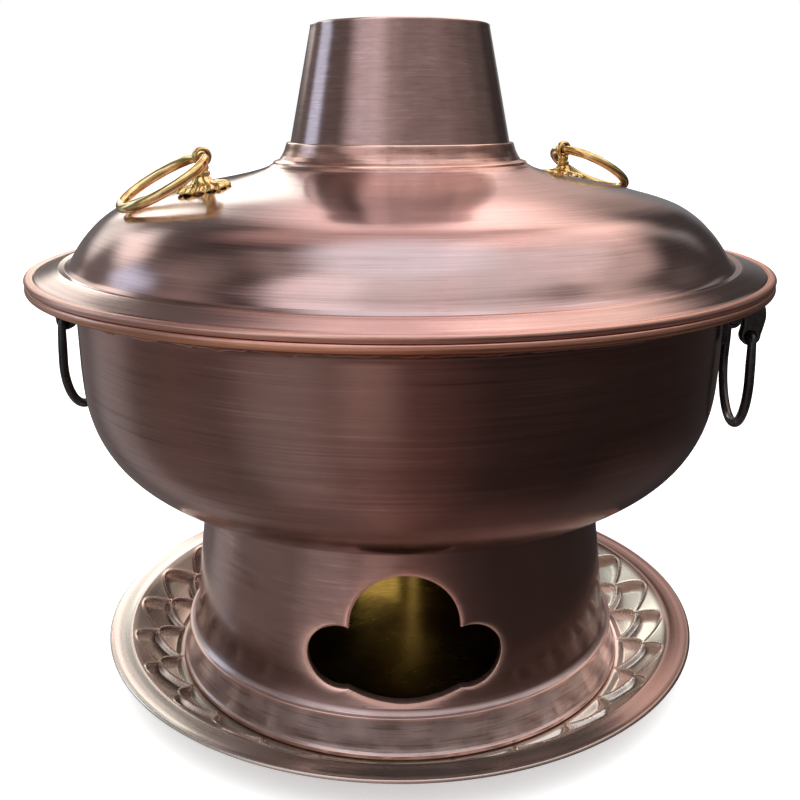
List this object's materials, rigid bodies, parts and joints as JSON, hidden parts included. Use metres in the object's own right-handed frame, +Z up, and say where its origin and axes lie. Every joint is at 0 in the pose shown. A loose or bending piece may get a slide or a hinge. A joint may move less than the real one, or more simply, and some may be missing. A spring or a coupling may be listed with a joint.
{
  "type": "chimney hot pot",
  "caption": "Round table hot pot with a charcoal fire tube through the bowl, a lift-off ring lid, a vented pedestal on a dished tray, and hinged ring and bail handles.",
  "frame": {"origin": "centre of the tray's underside, on the pot's axis", "axes": "+Z up along the chimney's axis, -Y towards the air vent, +X towards the right-hand side handle"},
  "size_m": [0.34, 0.34, 0.3049],
  "materials": {
    "copper_tray": "antique copper plating, embossed, satin",
    "copper_body": "antique copper plating, lathe-brushed, semi-gloss",
    "copper_lid": "antique copper plating, lathe-brushed, semi-gloss",
    "cast_iron_grate": "raw cast iron with ash dust",
    "polished_brass": "polished",
    "black_iron": "black, glossy"
  },
  "bodies": {
    "tray": {"base_tray": "copper_tray"},
    "pot": {"pedestal": "copper_body", "bowl": "copper_body", "fire_tube": "copper_body", "grate_ring": "copper_body", "charcoal_grate": "cast_iron_grate", "side_bracket_left": "black_iron", "side_bracket_right": "black_iron", "bracket_rivets": "black_iron"},
    "lid": {"lid_shell": "copper_lid", "lid_rosette_left": "polished_brass", "lid_rosette_right": "polished_brass", "lid_eye_post_left": "polished_brass", "lid_eye_post_right": "polished_brass", "lid_nuts": "polished_brass"},
    "ring_left": {"lid_ring_left": "polished_brass"},
    "ring_right": {"lid_ring_right": "polished_brass"},
    "bail_left": {"side_bail_left": "black_iron"},
    "bail_right": {"side_bail_right": "black_iron"}
  },
  "joints": [
    {"name": "pot_lift", "type": "slide", "parent": "tray", "child": "pot", "axis": [0, 0, 1], "range_m": [0, 0.06]},
    {"name": "lid_lift", "type": "slide", "parent": "pot", "child": "lid", "axis": [0, 0, 1], "range_m": [0, 0.115]},
    {"name": "ring_left_swing", "type": "hinge", "parent": "lid", "child": "ring_left", "pos_m": [-0.08357, -0.04518, 0.249], "axis": [-0.4756, 0.8796, 0], "range_deg": [0, 195]},
    {"name": "ring_right_swing", "type": "hinge", "parent": "lid", "child": "ring_right", "pos_m": [0.08357, 0.04518, 0.249], "axis": [0.4756, -0.8796, 0], "range_deg": [0, 195]},
    {"name": "bail_left_swing", "type": "hinge", "parent": "pot", "child": "bail_left", "pos_m": [-0.16094, 0.01663, 0.17], "axis": [0.1028, 0.9947, 0], "range_deg": [-18, 157]},
    {"name": "bail_right_swing", "type": "hinge", "parent": "pot", "child": "bail_right", "pos_m": [0.16094, -0.01663, 0.17], "axis": [-0.1028, -0.9947, 0], "range_deg": [-18, 157]}
  ]
}
